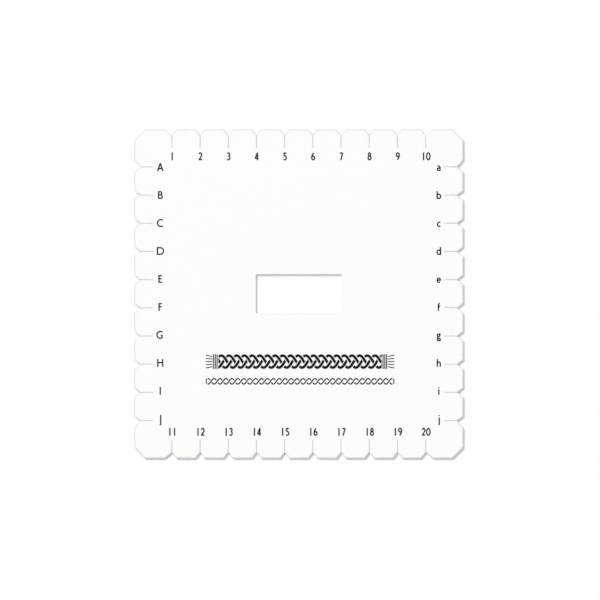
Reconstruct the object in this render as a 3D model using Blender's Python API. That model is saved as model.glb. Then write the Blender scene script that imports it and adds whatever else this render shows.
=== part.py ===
"""A square foam plate for braiding cords by hand.

The plate is one piece, die-cut from a sheet of white closed-cell foam. Each side has ten slits that
grip the cords, each behind a V-shaped notch, and the finished braid goes down through the oblong
hole in the middle. The plate lies flat: +Z is up, +Y is the side with the first ten numbers, and
the origin is at the middle of the underside. Lengths are in metres.
"""

import math

import bpy
from mathutils import Matrix, Vector

PLATE_SIDE = 0.150
THICKNESS = 0.010

# The slits, which are knife cuts and stand open only as far as the blade was thick.
# They share out evenly what the two corner blocks leave of a side.
SLITS_PER_SIDE = 10
CORNER_BLOCK = 0.0172
SLIT_PITCH = (PLATE_SIDE - 2 * CORNER_BLOCK) / (SLITS_PER_SIDE - 1)
SLIT_DEPTH = 0.0086
SLIT_WIDTH = 0.0002

# The V in front of each slit, which reaches further on the side of a corner block
NOTCH_DEPTH = 0.0028
NOTCH_REACH = 0.0020
CORNER_NOTCH_REACH = 0.0032
CORNER_CHAMFER = 0.0050

# The hole for the finished braid, longer from left to right
HOLE_LENGTH = 0.0390
HOLE_WIDTH = 0.0177

# Roundings: seen from above, and of the rims, which the die rolls over
TAB_RADIUS = 0.0009
THROAT_RADIUS = 0.0006
CORNER_RADIUS = 0.0012
HOLE_RADIUS = 0.0006
ARC_STEPS = 3
RIM_RADIUS = 0.0004
RIM_STEPS = 1

FOAM_COLOUR = (0.94, 0.94, 0.935, 1.0)
FOAM_ROUGHNESS = 0.75


def clear_scene():
    """Removes every object that the file opens with."""
    for found in list(bpy.data.objects):
        bpy.data.objects.remove(found)


def foam_material():
    """White closed-cell foam, matte all over."""
    material = bpy.data.materials.new("White foam")
    material.use_nodes = True
    surface = material.node_tree.nodes["Principled BSDF"]
    surface.inputs["Base Color"].default_value = FOAM_COLOUR
    surface.inputs["Roughness"].default_value = FOAM_ROUGHNESS
    surface.inputs["Metallic"].default_value = 0.0
    return material


def side_corners():
    """One side of the plate from its left chamfer to its right one, as (point, radius) pairs.

    The side runs along +X at y = half of PLATE_SIDE, with the plate below it.
    """
    edge = PLATE_SIDE / 2
    half_slit = SLIT_WIDTH / 2
    corners = [(Vector((CORNER_CHAMFER - edge, edge)), CORNER_RADIUS)]
    last = SLITS_PER_SIDE - 1
    for index in range(SLITS_PER_SIDE):
        x = CORNER_BLOCK - edge + index * SLIT_PITCH
        left_reach = CORNER_NOTCH_REACH if index == 0 else NOTCH_REACH
        right_reach = CORNER_NOTCH_REACH if index == last else NOTCH_REACH
        corners += [
            (Vector((x - left_reach, edge)), TAB_RADIUS),
            (Vector((x - half_slit, edge - NOTCH_DEPTH)), THROAT_RADIUS),
            (Vector((x - half_slit, edge - SLIT_DEPTH)), 0.0),
            (Vector((x + half_slit, edge - SLIT_DEPTH)), 0.0),
            (Vector((x + half_slit, edge - NOTCH_DEPTH)), THROAT_RADIUS),
            (Vector((x + right_reach, edge)), TAB_RADIUS),
        ]
    corners.append((Vector((edge - CORNER_CHAMFER, edge)), CORNER_RADIUS))
    return corners


def plate_corners():
    """The whole outline, clockwise from the left end of the +Y side."""
    corners = []
    for turn in range(4):
        rotation = Matrix.Rotation(-turn * math.pi / 2, 2)
        corners += [(rotation @ point, radius) for point, radius in side_corners()]
    return corners


def hole_corners():
    """The hole's outline, anticlockwise, so that the plate lies on the same hand as outside."""
    x, y = HOLE_LENGTH / 2, HOLE_WIDTH / 2
    points = [Vector((-x, y)), Vector((-x, -y)), Vector((x, -y)), Vector((x, y))]
    return [(point, HOLE_RADIUS) for point in points]


def arc_at(before, corner, after, radius):
    """The points that round one corner, or the corner itself where its radius is nothing."""
    to_before, to_after = before - corner, after - corner
    if radius <= 0:
        return [corner]
    half_angle = to_before.angle(to_after) / 2
    room = min(to_before.length, to_after.length) / 2
    reach = min(radius / math.tan(half_angle), room)
    start = corner + to_before.normalized() * reach
    bisector = (to_before.normalized() + to_after.normalized()).normalized()
    centre = corner + bisector * (reach / math.cos(half_angle))
    spoke = start - centre
    sweep = math.pi - 2 * half_angle
    if to_before.cross(to_after) > 0:
        sweep = -sweep
    return [
        centre + Matrix.Rotation(sweep * step / ARC_STEPS, 2) @ spoke
        for step in range(ARC_STEPS + 1)
    ]


def rounded(corners):
    """A closed outline with each of its corners rounded by its own radius."""
    points = []
    for index, (corner, radius) in enumerate(corners):
        before = corners[index - 1][0]
        after = corners[(index + 1) % len(corners)][0]
        points += arc_at(before, corner, after, radius)
    return points


def add_outline(curve, points):
    """Adds one closed outline to a flat curve."""
    spline = curve.splines.new("POLY")
    spline.points.add(len(points) - 1)
    for target, point in zip(spline.points, points):
        target.co = (point.x, point.y, 0.0, 1.0)
    spline.use_cyclic_u = True


def make_plate(collection):
    """The plate: both outlines filled, thickened and rolled over at the rims."""
    curve = bpy.data.curves.new("braiding_plate", "CURVE")
    curve.dimensions = "2D"
    curve.fill_mode = "BOTH"
    curve.extrude = THICKNESS / 2 - RIM_RADIUS
    curve.bevel_depth = RIM_RADIUS
    curve.bevel_resolution = RIM_STEPS - 1
    curve.offset = -RIM_RADIUS
    add_outline(curve, rounded(plate_corners()))
    add_outline(curve, rounded(hole_corners()))
    curve.materials.append(foam_material())
    plate = bpy.data.objects.new("braiding_plate", curve)
    plate.location.z = THICKNESS / 2
    collection.objects.link(plate)
    return plate


def main():
    clear_scene()
    collection = bpy.data.collections.new("Braiding plate")
    bpy.context.scene.collection.children.link(collection)
    make_plate(collection)


main()
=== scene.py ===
"""The looks of a square foam braiding plate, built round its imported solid.

The plate is white closed-cell foam, with a smooth skin on both faces and fine open cells on the
walls that the die cut. Black print on the top face numbers the slits of two sides, letters those of
the other two, and sets two plaited bands below the hole. Lengths are in metres.
"""

import math

import bmesh
import bpy
from mathutils import Matrix, Vector


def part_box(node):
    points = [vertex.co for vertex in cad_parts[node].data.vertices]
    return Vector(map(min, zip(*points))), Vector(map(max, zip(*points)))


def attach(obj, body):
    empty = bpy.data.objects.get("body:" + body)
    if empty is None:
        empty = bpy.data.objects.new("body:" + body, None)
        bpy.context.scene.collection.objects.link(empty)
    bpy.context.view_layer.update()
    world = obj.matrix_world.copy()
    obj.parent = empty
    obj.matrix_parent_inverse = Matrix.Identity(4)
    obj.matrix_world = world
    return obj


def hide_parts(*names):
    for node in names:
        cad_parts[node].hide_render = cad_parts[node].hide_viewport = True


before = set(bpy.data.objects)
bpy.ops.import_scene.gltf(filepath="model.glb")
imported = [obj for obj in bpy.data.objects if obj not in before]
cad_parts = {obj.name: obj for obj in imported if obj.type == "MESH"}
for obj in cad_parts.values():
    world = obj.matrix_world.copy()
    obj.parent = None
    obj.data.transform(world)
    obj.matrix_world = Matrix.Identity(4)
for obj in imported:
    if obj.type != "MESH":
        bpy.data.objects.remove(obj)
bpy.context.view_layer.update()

PLATE = "braiding_plate"
PLATE_LOW, PLATE_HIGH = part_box(PLATE)
SIDE = PLATE_HIGH.x - PLATE_LOW.x
THICKNESS = PLATE_HIGH.z - PLATE_LOW.z

# The slits share out evenly what the corner blocks leave of a side. They stand open less than the
# blade was thick, because the foam closes up behind it.
SLITS_PER_SIDE = 10
CORNER_BLOCK = 0.0172
SLIT_PITCH = (SIDE - 2 * CORNER_BLOCK) / (SLITS_PER_SIDE - 1)
SLIT_DEPTH = 0.0086
SLIT_WIDTH = 0.00008

# The V in front of each slit, which reaches further on the side of a corner block
NOTCH_DEPTH = 0.0028
NOTCH_REACH = 0.0020
CORNER_NOTCH_REACH = 0.0032
CORNER_CHAMFER = 0.0050

# The hole for the finished braid, longer from left to right
HOLE_LENGTH = 0.0390
HOLE_WIDTH = 0.0177

# Roundings seen from above
TAB_RADIUS = 0.0009
THROAT_RADIUS = 0.0006
CORNER_RADIUS = 0.0012
HOLE_RADIUS = 0.0006
CORNER_STEPS = 8

# The cut edge from below to above: a sharp foot, a slightly hollow wall and a rolled shoulder.
# Each kind of edge says how far its shoulder rolls in and down, and how hollow its wall is. Beside
# the rolls, a narrow border of each face is kept flat, so that their shading ends there.
OUTER_EDGE = (0.00080, 0.00170, 0.00012)
SLIT_EDGE = (0.00050, 0.00060, 0.0)
HOLE_EDGE = (0.00020, 0.00030, 0.00010)
FOOT_ROLL = 0.00020
FLAT_BORDER = 0.00008
ROLL_STEPS = 6
WALL_STEPS = 8
SHARP_ANGLE = 40.0

# Shorter edges than this are closed up, and nearer points than this become one
SLIVER = 0.0000005
SAME_POINT = 0.000001

# Foam cells, in shares of a cell: how far they are bent out of line, the rim's width, the height of
# the tops, and the depth, flat floor and reach of a bowl
CELL_BEND = 0.5
CELL_RIM = 0.16
CELL_TOP = 0.4
BOWL_DEPTH = 1.4
BOWL_FLOOR = 0.12
BOWL_REACH = 0.62

# The foam's finishes, with the painted shade that darkens the bowl of each open cell on the skin
# and on the cut. The streaks of the blade are this far apart and deep, and drawn out upwards.
FOAM_COLOUR = (0.94, 0.94, 0.935, 1.0)
SKIN_BOWL_PAINTED_SHADE = (0.86, 0.86, 0.855, 1.0)
CUT_BOWL_PAINTED_SHADE = (0.86, 0.86, 0.85, 1.0)
ROUGHNESS_SPREAD = 0.06
BLADE_MARK = 0.0009
BLADE_MARK_DEPTH = 0.00012
BLADE_MARK_SQUEEZE = 0.06

# The print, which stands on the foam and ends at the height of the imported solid
INK_THICKNESS = 0.00004
INK_SINK = 0.00001
FACE_HEIGHT = THICKNESS - INK_THICKNESS
INK_COLOUR = (0.005, 0.005, 0.006, 1.0)
PINHOLE_COLOUR = (0.20, 0.20, 0.20, 1.0)
PINHOLE_SIZE = 0.00018
PINHOLE_SHARE = 0.012
INK_GRAIN = 0.00001
INK_SPECULAR = 0.06
INK_ROUGHNESS = (0.50, 0.70)

# Lettering: shapes are in shares of a capital's height, drawn with a pen of even width
CAPITAL = 0.0036
PEN = 0.175
TOP_LINE = 1 - PEN / 2
BASE_LINE = PEN / 2
DIGIT_ADVANCE = 0.60
ARC_STEP = 12.0

# Where the lettering stands, from the middle of the plate
TOP_NUMBERS = 0.0626
BOTTOM_NUMBERS = 0.0629
NUMBER_SHIFT = 0.00015
LEFT_LETTERS = 0.0631
RIGHT_LETTERS = 0.0638
FIRST_LETTER = 0.0577
LETTER_PITCH = 0.01274

# The plaited bands: their reach, and the whipping and tails that end the upper one
BAND_MIDDLE = 0.0006
BAND_LENGTH = 0.0859
BAND_GAP = 0.00030
STRETCH_STEPS = 24
PLAIT_HEIGHT = -0.0309
PLAIT = {
    "cords": 3, "width": 0.00125, "swing": 0.00275, "wave": 0.0105,
    "first_under": 1 / 12, "stretch": 1 / 2,
}
TWIST_HEIGHT = -0.0399
TWIST = {
    "cords": 2, "width": 0.00060, "swing": 0.00125, "wave": 0.0054,
    "first_under": 1 / 2, "stretch": 1,
}
WHIPPING_TURNS = 3
WHIPPING_WIDTH = 0.00050
WHIPPING_PITCH = 0.00080
TAILS = 5
TAIL_WIDTH = 0.00045
TAIL_LENGTH = 0.0030
TAIL_SPREAD = 1.25

# Camera and light. The photograph's pixels have a size on the plate, and one holds its middle.
IMAGE_SIZE = 600
PIXEL = 0.0004555
MIDDLE_PIXEL = (298.75, 293.75)
LENS = 1000.0
SENSOR = 36.0
CAMERA_AZIMUTH = 44.0
CAMERA_ELEVATION = 89.2
KEY_AZIMUTH = 218.0
KEY_ELEVATION = 84.0
KEY_DISTANCE = 6.0
KEY_SIZE = 0.45
KEY_LEVEL = 0.569
SKY_LEVEL = 0.437
FLOOR_SIZE = 6.0
FLOOR_GAP = 0.0001
FLOOR_TONE = 0.80
FLOOR_LIFT = 0.205


def direction(azimuth, elevation):
    """Unit vector from the plate towards a place round it. Azimuth 0 is at -Y and 90 at +X."""
    turn, rise = math.radians(azimuth), math.radians(elevation)
    level = math.cos(rise)
    return Vector((math.sin(turn) * level, -math.cos(turn) * level, math.sin(rise)))


def node(tree, kind, **settings):
    """Adds a shader node. A setting names an attribute, or an input with spaces as underscores."""
    made = tree.nodes.new(kind)
    for name, value in settings.items():
        if hasattr(made, name):
            setattr(made, name, value)
        else:
            made.inputs[name.replace("_", " ")].default_value = value
    return made


def group_tree(name, inputs, outputs):
    """An empty node group with its sockets, and its input and output nodes."""
    tree = bpy.data.node_groups.new(name, "ShaderNodeTree")
    for label, (kind, value) in inputs.items():
        socket = tree.interface.new_socket(name=label, in_out="INPUT", socket_type=kind)
        if value is not None:
            socket.default_value = value
    for label, kind in outputs.items():
        tree.interface.new_socket(name=label, in_out="OUTPUT", socket_type=kind)
    return tree, tree.nodes.new("NodeGroupInput"), tree.nodes.new("NodeGroupOutput")


def foam_cells_group():
    """Foam cells of one size: low rounded tops, and a share of cells open as round bowls."""
    inputs = {
        "Vector": ("NodeSocketVector", None),
        "Cell Size": ("NodeSocketFloat", 0.0004),
        "Open Share": ("NodeSocketFloat", 0.02),
    }
    outputs = {"Height": "NodeSocketFloat", "Open": "NodeSocketFloat"}
    tree, given, result = group_tree("Foam cells", inputs, outputs)
    link = tree.links.new
    density = node(tree, "ShaderNodeMath", operation="DIVIDE")
    density.inputs[0].default_value = 1.0
    link(given.outputs["Cell Size"], density.inputs[1])
    wobble = node(tree, "ShaderNodeTexNoise", Detail=2.0)
    link(given.outputs["Vector"], wobble.inputs["Vector"])
    link(density.outputs[0], wobble.inputs["Scale"])
    scaled = node(tree, "ShaderNodeVectorMath", operation="SCALE")
    link(given.outputs["Vector"], scaled.inputs[0])
    link(density.outputs[0], scaled.inputs["Scale"])
    bent = node(tree, "ShaderNodeVectorMath", operation="MULTIPLY_ADD")
    bent.inputs[1].default_value = (CELL_BEND, CELL_BEND, CELL_BEND)
    link(wobble.outputs["Color"], bent.inputs[0])
    link(scaled.outputs[0], bent.inputs[2])
    cells = node(tree, "ShaderNodeTexVoronoi", feature="F1", Scale=1.0)
    link(bent.outputs[0], cells.inputs["Vector"])
    rims = node(tree, "ShaderNodeTexVoronoi", feature="DISTANCE_TO_EDGE", Scale=1.0)
    link(bent.outputs[0], rims.inputs["Vector"])
    swell = node(tree, "ShaderNodeMapRange", interpolation_type="SMOOTHSTEP", From_Max=CELL_RIM)
    link(rims.outputs["Distance"], swell.inputs["Value"])
    bowl = node(
        tree, "ShaderNodeMapRange", interpolation_type="SMOOTHSTEP",
        From_Min=BOWL_FLOOR, From_Max=BOWL_REACH, To_Min=1.0, To_Max=0.0,
    )
    link(cells.outputs["Distance"], bowl.inputs["Value"])
    drawn = node(tree, "ShaderNodeSeparateColor")
    link(cells.outputs["Color"], drawn.inputs["Color"])
    chosen = node(tree, "ShaderNodeMath", operation="LESS_THAN")
    link(drawn.outputs["Red"], chosen.inputs[0])
    link(given.outputs["Open Share"], chosen.inputs[1])
    inside = node(tree, "ShaderNodeMath", operation="MULTIPLY")
    link(chosen.outputs[0], inside.inputs[0])
    link(swell.outputs[0], inside.inputs[1])
    opened = node(tree, "ShaderNodeMath", operation="MULTIPLY")
    link(inside.outputs[0], opened.inputs[0])
    link(bowl.outputs[0], opened.inputs[1])
    raised = node(tree, "ShaderNodeMath", operation="MULTIPLY")
    raised.inputs[1].default_value = CELL_TOP
    link(swell.outputs[0], raised.inputs[0])
    sunk = node(tree, "ShaderNodeMath", operation="MULTIPLY_ADD")
    sunk.inputs[1].default_value = -BOWL_DEPTH
    link(opened.outputs[0], sunk.inputs[0])
    link(raised.outputs[0], sunk.inputs[2])
    link(sunk.outputs[0], result.inputs["Height"])
    link(opened.outputs[0], result.inputs["Open"])
    return tree


def tone_group():
    """A colour made a little lighter and darker in soft patches of one size."""
    inputs = {
        "Vector": ("NodeSocketVector", None),
        "Color": ("NodeSocketColor", (0.9, 0.9, 0.9, 1.0)),
        "Patch Size": ("NodeSocketFloat", 0.02),
        "Spread": ("NodeSocketFloat", 0.02),
    }
    outputs = {"Color": "NodeSocketColor", "Patches": "NodeSocketFloat"}
    tree, given, result = group_tree("Soft tone", inputs, outputs)
    link = tree.links.new
    density = node(tree, "ShaderNodeMath", operation="DIVIDE")
    density.inputs[0].default_value = 1.0
    link(given.outputs["Patch Size"], density.inputs[1])
    patches = node(tree, "ShaderNodeTexNoise", Detail=3.0, Roughness=0.55)
    link(given.outputs["Vector"], patches.inputs["Vector"])
    link(density.outputs[0], patches.inputs["Scale"])
    centred = node(tree, "ShaderNodeMath", operation="SUBTRACT")
    centred.inputs[1].default_value = 0.5
    link(patches.outputs["Fac"], centred.inputs[0])
    factor = node(tree, "ShaderNodeMath", operation="MULTIPLY_ADD")
    factor.inputs[2].default_value = 1.0
    link(centred.outputs[0], factor.inputs[0])
    link(given.outputs["Spread"], factor.inputs[1])
    toned = node(tree, "ShaderNodeVectorMath", operation="SCALE")
    link(given.outputs["Color"], toned.inputs[0])
    link(factor.outputs[0], toned.inputs["Scale"])
    link(toned.outputs[0], result.inputs["Color"])
    link(patches.outputs["Fac"], result.inputs["Patches"])
    return tree


FOAM_CELLS = foam_cells_group()
SOFT_TONE = tone_group()


def new_material(name):
    """A material with its node tree, its shader and its object coordinates."""
    material = bpy.data.materials.new(name)
    material.use_nodes = True
    tree = material.node_tree
    place = node(tree, "ShaderNodeTexCoord").outputs["Object"]
    return material, tree, tree.nodes["Principled BSDF"], place


def foam_surface(name, bowl_painted_shade, roughness, cell_size, open_share, relief, patch_size, spread):
    """White foam with cells of one size, and painted shade in the bowl of each open cell."""
    material, tree, surface, place = new_material(name)
    link = tree.links.new
    tone = node(
        tree, "ShaderNodeGroup", node_tree=SOFT_TONE,
        Color=FOAM_COLOUR, Patch_Size=patch_size, Spread=spread,
    )
    link(place, tone.inputs["Vector"])
    cells = node(
        tree, "ShaderNodeGroup", node_tree=FOAM_CELLS, Cell_Size=cell_size, Open_Share=open_share,
    )
    link(place, cells.inputs["Vector"])
    # Painted shade: each open cell's bowl is darkened towards the shaded colour, as if shade fell
    # in it
    shade = node(tree, "ShaderNodeMix", data_type="RGBA", B=bowl_painted_shade)
    link(cells.outputs["Open"], shade.inputs["Factor"])
    link(tone.outputs["Color"], shade.inputs["A"])
    link(shade.outputs["Result"], surface.inputs["Base Color"])
    gloss = node(
        tree, "ShaderNodeMapRange",
        To_Min=roughness - ROUGHNESS_SPREAD, To_Max=roughness + ROUGHNESS_SPREAD,
    )
    link(tone.outputs["Patches"], gloss.inputs["Value"])
    link(gloss.outputs[0], surface.inputs["Roughness"])
    bump = node(tree, "ShaderNodeBump", Distance=relief)
    link(cells.outputs["Height"], bump.inputs["Height"])
    link(bump.outputs["Normal"], surface.inputs["Normal"])
    return material


def add_blade_marks(material):
    """Adds the faint upright streaks that the die's blade leaves on a cut wall."""
    tree = material.node_tree
    surface = tree.nodes["Principled BSDF"]
    cells_bump = surface.inputs["Normal"].links[0].from_node
    place = node(tree, "ShaderNodeTexCoord").outputs["Object"]
    drawn_out = node(tree, "ShaderNodeMapping")
    drawn_out.inputs["Scale"].default_value = (1.0, 1.0, BLADE_MARK_SQUEEZE)
    tree.links.new(place, drawn_out.inputs["Vector"])
    streaks = node(tree, "ShaderNodeTexNoise", Scale=1 / BLADE_MARK, Detail=3.0, Roughness=0.6)
    tree.links.new(drawn_out.outputs[0], streaks.inputs["Vector"])
    bump = node(tree, "ShaderNodeBump", Distance=BLADE_MARK_DEPTH)
    tree.links.new(streaks.outputs["Fac"], bump.inputs["Height"])
    tree.links.new(cells_bump.outputs["Normal"], bump.inputs["Normal"])
    tree.links.new(bump.outputs["Normal"], surface.inputs["Normal"])


def ink_surface():
    """Matt black printing ink with a few pinholes where it missed an open cell."""
    material, tree, surface, place = new_material("Black print")
    surface.inputs["Specular IOR Level"].default_value = INK_SPECULAR
    link = tree.links.new
    tone = node(
        tree, "ShaderNodeGroup", node_tree=SOFT_TONE,
        Color=INK_COLOUR, Patch_Size=0.0015, Spread=0.8,
    )
    link(place, tone.inputs["Vector"])
    cells = node(
        tree, "ShaderNodeGroup", node_tree=FOAM_CELLS,
        Cell_Size=PINHOLE_SIZE, Open_Share=PINHOLE_SHARE,
    )
    link(place, cells.inputs["Vector"])
    missed = node(tree, "ShaderNodeMix", data_type="RGBA", B=PINHOLE_COLOUR)
    link(cells.outputs["Open"], missed.inputs["Factor"])
    link(tone.outputs["Color"], missed.inputs["A"])
    link(missed.outputs["Result"], surface.inputs["Base Color"])
    gloss = node(
        tree, "ShaderNodeMapRange", To_Min=INK_ROUGHNESS[0], To_Max=INK_ROUGHNESS[1],
    )
    link(tone.outputs["Patches"], gloss.inputs["Value"])
    link(gloss.outputs[0], surface.inputs["Roughness"])
    bump = node(tree, "ShaderNodeBump", Distance=INK_GRAIN)
    link(cells.outputs["Height"], bump.inputs["Height"])
    link(bump.outputs["Normal"], surface.inputs["Normal"])
    return material


def finished(name, bm, materials):
    """Clears a bmesh of slivers and makes it a piece of the object, riding on its one body."""
    bmesh.ops.dissolve_degenerate(bm, edges=bm.edges[:], dist=SLIVER)
    mesh = bpy.data.meshes.new(name)
    bm.to_mesh(mesh)
    bm.free()
    for material in materials:
        mesh.materials.append(material)
    piece = bpy.data.objects.new(name, mesh)
    bpy.context.scene.collection.objects.link(piece)
    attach(piece, "root")
    return piece


def side_corners():
    """One side of the plate from left to right, as (point, radius) pairs.

    The side runs along +X at y = half of SIDE, with the plate below it.
    """
    edge = SIDE / 2
    half_slit = SLIT_WIDTH / 2
    last = SLITS_PER_SIDE - 1
    corners = [(Vector((CORNER_CHAMFER - edge, edge, 0)), CORNER_RADIUS)]
    for index in range(SLITS_PER_SIDE):
        x = CORNER_BLOCK - edge + index * SLIT_PITCH
        left_reach = CORNER_NOTCH_REACH if index == 0 else NOTCH_REACH
        right_reach = CORNER_NOTCH_REACH if index == last else NOTCH_REACH
        corners += [
            (Vector((x - left_reach, edge, 0)), TAB_RADIUS),
            (Vector((x - half_slit, edge - NOTCH_DEPTH, 0)), THROAT_RADIUS),
            (Vector((x - half_slit, edge - SLIT_DEPTH, 0)), 0.0),
            (Vector((x + half_slit, edge - SLIT_DEPTH, 0)), 0.0),
            (Vector((x + half_slit, edge - NOTCH_DEPTH, 0)), THROAT_RADIUS),
            (Vector((x + right_reach, edge, 0)), TAB_RADIUS),
        ]
    corners.append((Vector((edge - CORNER_CHAMFER, edge, 0)), CORNER_RADIUS))
    return corners


def plate_corners():
    """The whole outline, clockwise."""
    corners = []
    for quarter in range(4):
        turn = Matrix.Rotation(-quarter * math.pi / 2, 3, "Z")
        corners += [(turn @ point, radius) for point, radius in side_corners()]
    return corners


def hole_corners():
    """The hole's outline, anticlockwise, so that the plate lies on the same hand as outside."""
    x, y = HOLE_LENGTH / 2, HOLE_WIDTH / 2
    points = [Vector((-x, y, 0)), Vector((-x, -y, 0)), Vector((x, -y, 0)), Vector((x, y, 0))]
    return [(point, HOLE_RADIUS) for point in points]


def add_rounded_outline(bm, corners):
    """Adds a closed outline with each corner bevelled to its own radius."""
    verts = [bm.verts.new(point) for point, radius in corners]
    face = bm.faces.new(verts)
    reaches = {}
    for vert, (point, radius) in zip(verts, corners):
        if radius > 0:
            ahead, behind = [(edge.other_vert(vert).co - point) for edge in vert.link_edges]
            reach = radius / math.tan(ahead.angle(behind) / 2)
            reaches.setdefault(round(reach, 7), []).append(vert)
    for reach, same in reaches.items():
        bmesh.ops.bevel(
            bm, geom=same, affect="VERTICES", offset=reach, offset_type="OFFSET",
            segments=CORNER_STEPS, profile=0.5, material=-1,
        )


def edge_kind(point):
    """The shoulder and hollow of the edge at a point. In a notch, outer edge turns into slit."""
    depth = SIDE / 2 - max(abs(point.x), abs(point.y))
    if depth > SLIT_DEPTH + NOTCH_DEPTH:
        return HOLE_EDGE
    share = min(max(2 * depth / NOTCH_DEPTH - 1, 0.0), 1.0)
    return [outer + (slit - outer) * share for outer, slit in zip(OUTER_EDGE, SLIT_EDGE)]


def edge_levels(roll, drop, hollow):
    """The cut edge's section as (height, inset) pairs from the underside to the top face."""
    levels = [(0.0, FOOT_ROLL + FLAT_BORDER)]
    for step in range(ROLL_STEPS + 1):
        angle = math.pi / 2 * step / ROLL_STEPS
        levels.append((FOOT_ROLL * (1 - math.cos(angle)), FOOT_ROLL * (1 - math.sin(angle))))
    for step in range(1, WALL_STEPS):
        along = step / WALL_STEPS
        height = FOOT_ROLL + (FACE_HEIGHT - FOOT_ROLL - drop) * along
        levels.append((height, hollow * math.sin(math.pi * along)))
    for step in range(ROLL_STEPS + 1):
        angle = math.pi / 2 * step / ROLL_STEPS
        levels.append((FACE_HEIGHT - drop * (1 - math.sin(angle)), roll * (1 - math.cos(angle))))
    levels.append((FACE_HEIGHT, roll + FLAT_BORDER))
    return levels


# The cut foam's place among the plate's two materials, after the skin
CUT = 1


def make_plate(skin, cut):
    """The foam plate: its outline raised level by level, each set in by the edge's section."""
    bm = bmesh.new()
    add_rounded_outline(bm, plate_corners())
    add_rounded_outline(bm, hole_corners())
    bmesh.ops.delete(bm, geom=bm.faces[:], context="FACES_ONLY")
    ring = bm.edges[:]
    rings = [bm.verts[:]]
    guide = bmesh.ops.triangle_fill(bm, edges=ring)["geom"]
    count = len(edge_levels(*OUTER_EDGE))
    for level in range(1, count):
        grown = bmesh.ops.extrude_edge_only(bm, edges=ring)["geom"]
        ring = [part for part in grown if isinstance(part, bmesh.types.BMEdge)]
        verts = [part for part in grown if isinstance(part, bmesh.types.BMVert)]
        bmesh.ops.translate(bm, vec=(0, 0, FACE_HEIGHT / count), verts=verts)
        rings.append(verts)
    bmesh.ops.recalc_face_normals(bm, faces=bm.faces[:])
    guide_faces = [part for part in guide if isinstance(part, bmesh.types.BMFace)]
    bmesh.ops.delete(bm, geom=guide_faces, context="FACES")
    bm.normal_update()
    level_of = {vert: level for level, verts in enumerate(rings) for vert in verts}
    places = {}
    for vert, level in level_of.items():
        height, inset = edge_levels(*edge_kind(vert.co))[level]
        place = vert.co - vert.normal * vert.calc_shell_factor() * inset
        places[vert] = Vector((place.x, place.y, height))
    for vert, place in places.items():
        vert.co = place
    walls = bm.faces[:]
    for verts in (rings[0], rings[-1]):
        chosen = set(verts)
        rim = [edge for edge in bm.edges if edge.verts[0] in chosen and edge.verts[1] in chosen]
        bmesh.ops.triangle_fill(bm, edges=rim, use_beauty=True)
    bmesh.ops.recalc_face_normals(bm, faces=bm.faces[:])
    for face in bm.faces:
        face.smooth = True
    for face in walls:
        level = min(level_of[vert] for vert in face.verts)
        if ROLL_STEPS < level <= ROLL_STEPS + WALL_STEPS:
            face.material_index = CUT
    plate = finished("foam_plate", bm, [skin, cut])
    plate.data.set_sharp_from_angle(angle=math.radians(SHARP_ANGLE))
    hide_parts(PLATE)
    return plate


def bar(x0, y0, x1, y1, pen=PEN):
    """A straight stroke with its ends cut level, or upright where it runs rather level itself."""
    start, end = Vector((x0, y0)), Vector((x1, y1))
    run = end - start
    if abs(run.x) > 2 * abs(run.y):
        side = Vector((0, pen / 2 * run.length / run.x))
    else:
        side = Vector((pen / 2 * run.length / run.y, 0))
    return 1, lambda along, across: start + run * along + side * across


def arc(x, y, radius_x, radius_y, start=0.0, end=360.0):
    """Part of an oval ring, from one angle to another, anticlockwise from +X in degrees."""
    steps = max(3, round(abs(end - start) / ARC_STEP))

    def place(along, across):
        angle = math.radians(start + (end - start) * along)
        point = Vector((x + radius_x * math.cos(angle), y + radius_y * math.sin(angle)))
        outward = Vector((radius_y * math.cos(angle), radius_x * math.sin(angle))).normalized()
        return point + outward * (PEN / 2 * across)

    return steps, place


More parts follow.
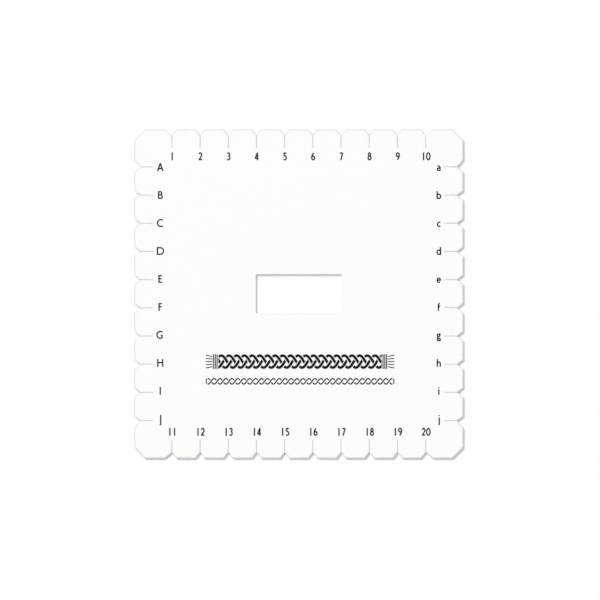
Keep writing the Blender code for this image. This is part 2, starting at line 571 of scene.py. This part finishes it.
# Each glyph is drawn round x = 0 and stands on y = 0
GLYPHS = {
    "0": [arc(0, 0.5, 0.215, 0.435)],
    "1": [bar(0, 0, 0, 1)],
    "2": [
        arc(-0.005, 0.70, 0.165, 0.235, 165, -38),
        bar(0.145, 0.585, -0.155, 0.07),
        bar(-0.225, BASE_LINE, 0.215, BASE_LINE),
    ],
    "3": [arc(-0.02, 0.735, 0.150, 0.200, 150, -95), arc(-0.03, 0.30, 0.180, 0.235, 95, -148)],
    "4": [bar(0.085, 0, 0.085, 1), bar(0.085, 0.96, -0.195, 0.26), bar(-0.245, 0.26, 0.225, 0.26)],
    "5": [
        bar(-0.125, TOP_LINE, 0.185, TOP_LINE),
        bar(-0.105, 0.53, -0.105, 1),
        arc(-0.025, 0.315, 0.190, 0.250, 114, -140),
    ],
    "6": [arc(0, 0.295, 0.180, 0.230), arc(0.235, 0.33, 0.415, 0.64, 180, 112)],
    "7": [bar(-0.205, TOP_LINE, 0.195, TOP_LINE), bar(0.165, 0.96, -0.075, 0)],
    "8": [arc(0, 0.735, 0.140, 0.200), arc(0, 0.30, 0.175, 0.235)],
    "9": [arc(0, 0.705, 0.180, 0.230), arc(-0.235, 0.67, 0.415, 0.64, 0, -68)],
    "A": [bar(-0.335, 0, 0, 1), bar(0.335, 0, 0, 1), bar(-0.23, 0.32, 0.23, 0.32)],
    "B": [
        bar(-0.205, 0, -0.205, 1),
        bar(-0.205, TOP_LINE, -0.005, TOP_LINE),
        bar(-0.205, 0.53, 0.03, 0.53),
        bar(-0.205, BASE_LINE, 0.03, BASE_LINE),
        arc(-0.005, 0.7325, 0.185, 0.2025, 90, -90),
        arc(0.03, 0.2975, 0.225, 0.2325, 90, -90),
    ],
    "C": [arc(0.07, 0.5, 0.42, 0.435, 52, 308)],
    "D": [
        bar(-0.355, 0, -0.355, 1),
        bar(-0.355, TOP_LINE, -0.05, TOP_LINE),
        bar(-0.355, BASE_LINE, -0.05, BASE_LINE),
        arc(-0.05, 0.5, 0.465, 0.435, 90, -90),
    ],
    "E": [
        bar(-0.16, 0, -0.16, 1),
        bar(-0.16, TOP_LINE, 0.215, TOP_LINE),
        bar(-0.16, 0.53, 0.185, 0.53),
        bar(-0.16, BASE_LINE, 0.235, BASE_LINE),
    ],
    "F": [
        bar(-0.145, 0, -0.145, 1),
        bar(-0.145, TOP_LINE, 0.22, TOP_LINE),
        bar(-0.145, 0.53, 0.18, 0.53),
    ],
    "G": [
        arc(0, 0.5, 0.42, 0.435, 50, 305),
        bar(0.24, 0.06, 0.24, 0.49),
        bar(0.06, 0.43, 0.30, 0.43),
    ],
    "H": [bar(-0.31, 0, -0.31, 1), bar(0.31, 0, 0.31, 1), bar(-0.31, 0.53, 0.31, 0.53)],
    "I": [bar(0, 0, 0, 1)],
    "J": [bar(0.06, -0.12, 0.06, 1), arc(-0.12, -0.12, 0.18, 0.17, 0, -75)],
    "a": [
        arc(-0.02, 0.445, 0.170, 0.190, 140, 0),
        bar(0.15, 0, 0.15, 0.455),
        arc(-0.03, 0.215, 0.165, 0.155, 60, 300),
    ],
    "b": [bar(-0.21, 0, -0.21, 1), arc(0.0, 0.335, 0.225, 0.27)],
    "c": [arc(0.06, 0.335, 0.225, 0.27, 55, 305)],
    "d": [bar(0.21, 0, 0.21, 1), arc(0.0, 0.335, 0.225, 0.27)],
    "e": [arc(0, 0.335, 0.205, 0.27, 0, 312), bar(-0.2, 0.345, 0.255, 0.345)],
    "f": [
        bar(-0.04, 0, -0.04, 0.76),
        arc(0.14, 0.76, 0.18, 0.18, 180, 88),
        bar(-0.16, 0.575, 0.16, 0.575),
    ],
    "g": [
        arc(-0.03, 0.44, 0.155, 0.165),
        bar(0.02, 0.605, 0.24, 0.605),
        arc(-0.02, 0.175, 0.135, 0.11, 110, 250),
        arc(0, -0.095, 0.20, 0.135),
    ],
    "h": [
        bar(-0.19, 0, -0.19, 1),
        arc(0.0, 0.385, 0.185, 0.22, 180, 0),
        bar(0.185, 0, 0.185, 0.39),
    ],
    "i": [bar(0, 0, 0, 0.67), bar(0, 0.83, 0, 0.97)],
    "j": [
        bar(0.05, -0.12, 0.05, 0.67),
        bar(0.05, 0.83, 0.05, 0.97),
        arc(-0.1, -0.12, 0.15, 0.16, 0, -70),
    ],
}


def draw_stroke(bm, stroke, size=1.0, middle=Vector((0, 0))):
    """Adds one flat stroke: a strip of grid bent along the stroke."""
    steps, place = stroke
    verts = bmesh.ops.create_grid(bm, x_segments=steps, y_segments=1, size=1.0)["verts"]
    for vert in verts:
        vert.co = (place((vert.co.x + 1) / 2, vert.co.y) * size + middle).to_3d()
    bmesh.ops.remove_doubles(bm, verts=verts, dist=SAME_POINT)


def raise_ink(bm):
    """Makes flat print as thick as the ink, standing on the top face and sunk a little into it."""
    bmesh.ops.translate(bm, vec=(0, 0, FACE_HEIGHT - INK_SINK), verts=bm.verts[:])
    grown = bmesh.ops.extrude_face_region(bm, geom=bm.faces[:])["geom"]
    raised = [part for part in grown if isinstance(part, bmesh.types.BMVert)]
    bmesh.ops.translate(bm, vec=(0, 0, INK_THICKNESS + INK_SINK), verts=raised)
    bmesh.ops.recalc_face_normals(bm, faces=bm.faces[:])


def strokes_object(name, strokes):
    """An object of closed, overlapping strokes, given as (stroke, size, middle)."""
    bm = bmesh.new()
    for stroke, size, middle in strokes:
        draw_stroke(bm, stroke, size, middle)
    raise_ink(bm)
    mesh = bpy.data.meshes.new(name)
    bm.to_mesh(mesh)
    bm.free()
    made = bpy.data.objects.new(name, mesh)
    bpy.context.scene.collection.objects.link(made)
    return made


def joined(name, strokes, ink):
    """One piece of print, with its overlapping strokes united."""
    half = strokes_object("half", strokes[0::2])
    rest = strokes_object("rest", strokes[1::2])
    union = half.modifiers.new("union", "BOOLEAN")
    union.operation = "UNION"
    union.solver = "EXACT"
    union.use_self = True
    union.object = rest
    seen = half.evaluated_get(bpy.context.evaluated_depsgraph_get())
    bm = bmesh.new()
    bm.from_mesh(seen.data)
    bpy.data.objects.remove(half)
    bpy.data.objects.remove(rest)
    return finished(name, bm, [ink])


def label_strokes(text, middle):
    """The strokes of a short label with its middle, at half a capital's height, at one point."""
    corner = middle - Vector((DIGIT_ADVANCE * (len(text) - 1) / 2, 0.5)) * CAPITAL
    strokes = []
    for index, glyph in enumerate(text):
        foot = corner + Vector((DIGIT_ADVANCE * index * CAPITAL, 0))
        strokes += [(stroke, CAPITAL, foot) for stroke in GLYPHS[glyph]]
    return strokes


def print_numbers(name, first, height, ink):
    """A row of slit numbers."""
    strokes = []
    for index in range(SLITS_PER_SIDE):
        x = CORNER_BLOCK - SIDE / 2 + index * SLIT_PITCH + NUMBER_SHIFT
        strokes += label_strokes(str(first + index), Vector((x, height)))
    return joined(name, strokes, ink)


def print_letters(name, letters, x, ink):
    """A column of slit letters."""
    strokes = []
    for index, letter in enumerate(letters):
        strokes += label_strokes(letter, Vector((x, FIRST_LETTER - index * LETTER_PITCH)))
    return joined(name, strokes, ink)


def across_line(line, x):
    """The level unit vector square to a line that is given as y at x."""
    step = BAND_GAP / 10
    return Vector((line(x - step) - line(x + step), 2 * step, 0)).normalized()


def trim(bm, parts, point, away):
    """Cuts off what lies past a point, and returns what stays."""
    cut = bmesh.ops.bisect_plane(bm, geom=parts, plane_co=point, plane_no=away, clear_outer=True)
    return [part for part in cut["geom"] if part.is_valid]


def draw_stretch(bm, line, leader, start, end, width):
    """Adds the stretch of a drawn cord between two places where it goes under its leader."""
    verts = bmesh.ops.create_grid(bm, x_segments=STRETCH_STEPS, y_segments=1, size=1.0)["verts"]
    for vert in verts:
        x = start + (end - start) * (vert.co.x + 1) / 2
        vert.co = Vector((x, line(x), 0)) + across_line(line, x) * (width / 2 * vert.co.y)
    edges = dict.fromkeys(edge for vert in verts for edge in vert.link_edges)
    faces = dict.fromkeys(face for vert in verts for face in vert.link_faces)
    parts = [*verts, *edges, *faces]
    centre = Vector(((start + end) / 2, line((start + end) / 2), 0))
    for x in (start, end):
        crossing = Vector((x, line(x), 0))
        away = across_line(leader, x)
        if away.dot(crossing - centre) < 0:
            away.negate()
        parts = trim(bm, parts, crossing - away * (width / 2 + BAND_GAP), away)


def draw_braid(bm, length, cords, width, swing, wave, first_under, stretch):
    """Adds a flat drawing of a braid round the origin, each cord a sine wave that leads the last.

    A cord goes under the next one first at `first_under` waves from its own start, and then again
    at each `stretch` waves.
    """
    def line(lead):
        return lambda x: swing * math.sin(math.tau * (x / wave + lead))

    reach = math.ceil(length / (2 * wave * stretch)) + 1
    for cord in range(cords):
        lead = cord / cords
        for index in range(-reach, reach):
            start = (first_under + index * stretch - lead) * wave
            end = start + stretch * wave
            draw_stretch(bm, line(lead), line(lead + 1 / cords), start, end, width)
    for way in (-1, 1):
        trim(bm, [*bm.verts, *bm.edges, *bm.faces], (way * length / 2, 0, 0), (way, 0, 0))


def place_band(name, bm, height, ink):
    """Makes a flat drawing round the origin a band of print at its place on the plate."""
    bmesh.ops.translate(bm, vec=(BAND_MIDDLE, height, 0), verts=bm.verts[:])
    raise_ink(bm)
    return finished(name, bm, [ink])


def print_plait(ink):
    """The upper band: a three-cord plait, whipped at both ends, with its tails spread a little."""
    whipping = WHIPPING_PITCH * WHIPPING_TURNS
    plait_length = BAND_LENGTH - 2 * (TAIL_LENGTH + whipping + BAND_GAP)
    half_height = PLAIT["swing"] + PLAIT["width"] / 2
    bm = bmesh.new()
    draw_braid(bm, plait_length, **PLAIT)
    for way in (-1, 1):
        for turn in range(WHIPPING_TURNS):
            x = way * (plait_length / 2 + BAND_GAP + WHIPPING_WIDTH / 2 + turn * WHIPPING_PITCH)
            draw_stroke(bm, bar(x, -half_height, x, half_height, WHIPPING_WIDTH))
        for tail in range(TAILS):
            y = (half_height - TAIL_WIDTH) * (2 * tail / (TAILS - 1) - 1)
            root, end = way * (BAND_LENGTH / 2 - TAIL_LENGTH), way * BAND_LENGTH / 2
            draw_stroke(bm, bar(root, y / TAIL_SPREAD, end, y, TAIL_WIDTH))
    return place_band("plait_band", bm, PLAIT_HEIGHT, ink)


def print_twist(ink):
    """The lower band: a thin two-cord twist between two bars."""
    bm = bmesh.new()
    draw_braid(bm, BAND_LENGTH - 2 * (WHIPPING_WIDTH + BAND_GAP), **TWIST)
    for way in (-1, 1):
        x = way * (BAND_LENGTH - WHIPPING_WIDTH) / 2
        draw_stroke(bm, bar(x, -TWIST["swing"], x, TWIST["swing"], WHIPPING_WIDTH))
    return place_band("twist_band", bm, TWIST_HEIGHT, ink)


def add_camera():
    """The photograph's view: almost straight down, leaning a little to the lower right."""
    data = bpy.data.cameras.new("camera")
    data.lens = LENS
    data.sensor_width = SENSOR
    back = direction(CAMERA_AZIMUTH, CAMERA_ELEVATION)
    distance = PIXEL * IMAGE_SIZE * LENS / SENSOR
    data.clip_start = distance / 10
    data.clip_end = distance * 10
    right = Vector((0, 1, 0)).cross(back).normalized()
    up = back.cross(right)
    middle = Vector((0, 0, THICKNESS))
    off_right = (IMAGE_SIZE / 2 - MIDDLE_PIXEL[0]) * PIXEL
    off_down = (IMAGE_SIZE / 2 - MIDDLE_PIXEL[1]) * PIXEL
    aim = middle + right * off_right - up * off_down
    camera = bpy.data.objects.new("camera", data)
    turn = Matrix((right, up, back)).transposed().to_4x4()
    camera.matrix_world = Matrix.Translation(aim + back * distance) @ turn
    bpy.context.scene.collection.objects.link(camera)
    bpy.context.scene.camera = camera


def seen_directly(tree):
    """Light Path's share of rays that show the background: camera, glossy and transmission rays."""
    path = node(tree, "ShaderNodeLightPath")
    first = node(tree, "ShaderNodeMath", operation="ADD")
    second = node(tree, "ShaderNodeMath", operation="ADD", use_clamp=True)
    tree.links.new(path.outputs["Is Camera Ray"], first.inputs[0])
    tree.links.new(path.outputs["Is Glossy Ray"], first.inputs[1])
    tree.links.new(first.outputs[0], second.inputs[0])
    tree.links.new(path.outputs["Is Transmission Ray"], second.inputs[1])
    return second.outputs[0]


def add_sky():
    """An even white surround, which is plain white where the camera sees it."""
    world = bpy.data.worlds.new("surround")
    world.use_nodes = True
    tree = world.node_tree
    level = node(tree, "ShaderNodeMapRange", To_Min=SKY_LEVEL, To_Max=1.0)
    tree.links.new(seen_directly(tree), level.inputs["Value"])
    background = tree.nodes["Background"]
    background.inputs["Color"].default_value = (1.0, 1.0, 1.0, 1.0)
    tree.links.new(level.outputs[0], background.inputs["Strength"])
    bpy.context.scene.world = world


def add_key():
    """A soft lamp high at the upper left."""
    data = bpy.data.lights.new("key", "AREA")
    data.shape = "DISK"
    data.size = KEY_SIZE
    data.energy = KEY_LEVEL * math.pi ** 2 * KEY_DISTANCE ** 2
    key = bpy.data.objects.new("key", data)
    towards = direction(KEY_AZIMUTH, KEY_ELEVATION)
    key.location = towards * KEY_DISTANCE
    key.rotation_euler = towards.to_track_quat("Z", "Y").to_euler()
    bpy.context.scene.collection.objects.link(key)


def add_floor():
    """A plain pale floor, lifted to white for the camera, but darker in the plate's shadow."""
    bm = bmesh.new()
    bmesh.ops.create_grid(bm, x_segments=1, y_segments=1, size=FLOOR_SIZE / 2)
    bmesh.ops.translate(bm, vec=(0, 0, -FLOOR_GAP), verts=bm.verts[:])
    mesh = bpy.data.meshes.new("floor")
    bm.to_mesh(mesh)
    bm.free()
    material, tree, surface, place = new_material("Floor")
    surface.inputs["Base Color"].default_value = (FLOOR_TONE, FLOOR_TONE, FLOOR_TONE, 1.0)
    surface.inputs["Roughness"].default_value = 1.0
    surface.inputs["Specular IOR Level"].default_value = 0.0
    surface.inputs["Emission Color"].default_value = (1.0, 1.0, 1.0, 1.0)
    lift = node(tree, "ShaderNodeMath", operation="MULTIPLY")
    lift.inputs[1].default_value = FLOOR_LIFT
    tree.links.new(seen_directly(tree), lift.inputs[0])
    tree.links.new(lift.outputs[0], surface.inputs["Emission Strength"])
    mesh.materials.append(material)
    floor = bpy.data.objects.new("floor", mesh)
    bpy.context.scene.collection.objects.link(floor)


def main():
    skin = foam_surface(
        "White foam skin", bowl_painted_shade=SKIN_BOWL_PAINTED_SHADE, roughness=0.62, cell_size=0.00024,
        open_share=0.006, relief=0.000014, patch_size=0.012, spread=0.03,
    )
    cut = foam_surface(
        "Cut foam", bowl_painted_shade=CUT_BOWL_PAINTED_SHADE, roughness=0.85, cell_size=0.00034,
        open_share=0.8, relief=0.00006, patch_size=0.004, spread=0.05,
    )
    add_blade_marks(cut)
    ink = ink_surface()
    make_plate(skin, cut)
    print_numbers("numbers_top_row", 1, TOP_NUMBERS, ink)
    print_numbers("numbers_bottom_row", 1 + SLITS_PER_SIDE, -BOTTOM_NUMBERS, ink)
    print_letters("letters_left_column", "ABCDEFGHIJ", -LEFT_LETTERS, ink)
    print_letters("letters_right_column", "abcdefghij", RIGHT_LETTERS, ink)
    print_plait(ink)
    print_twist(ink)
    add_camera()
    add_sky()
    add_key()
    add_floor()
    bpy.context.scene.view_settings.view_transform = "Standard"


main()
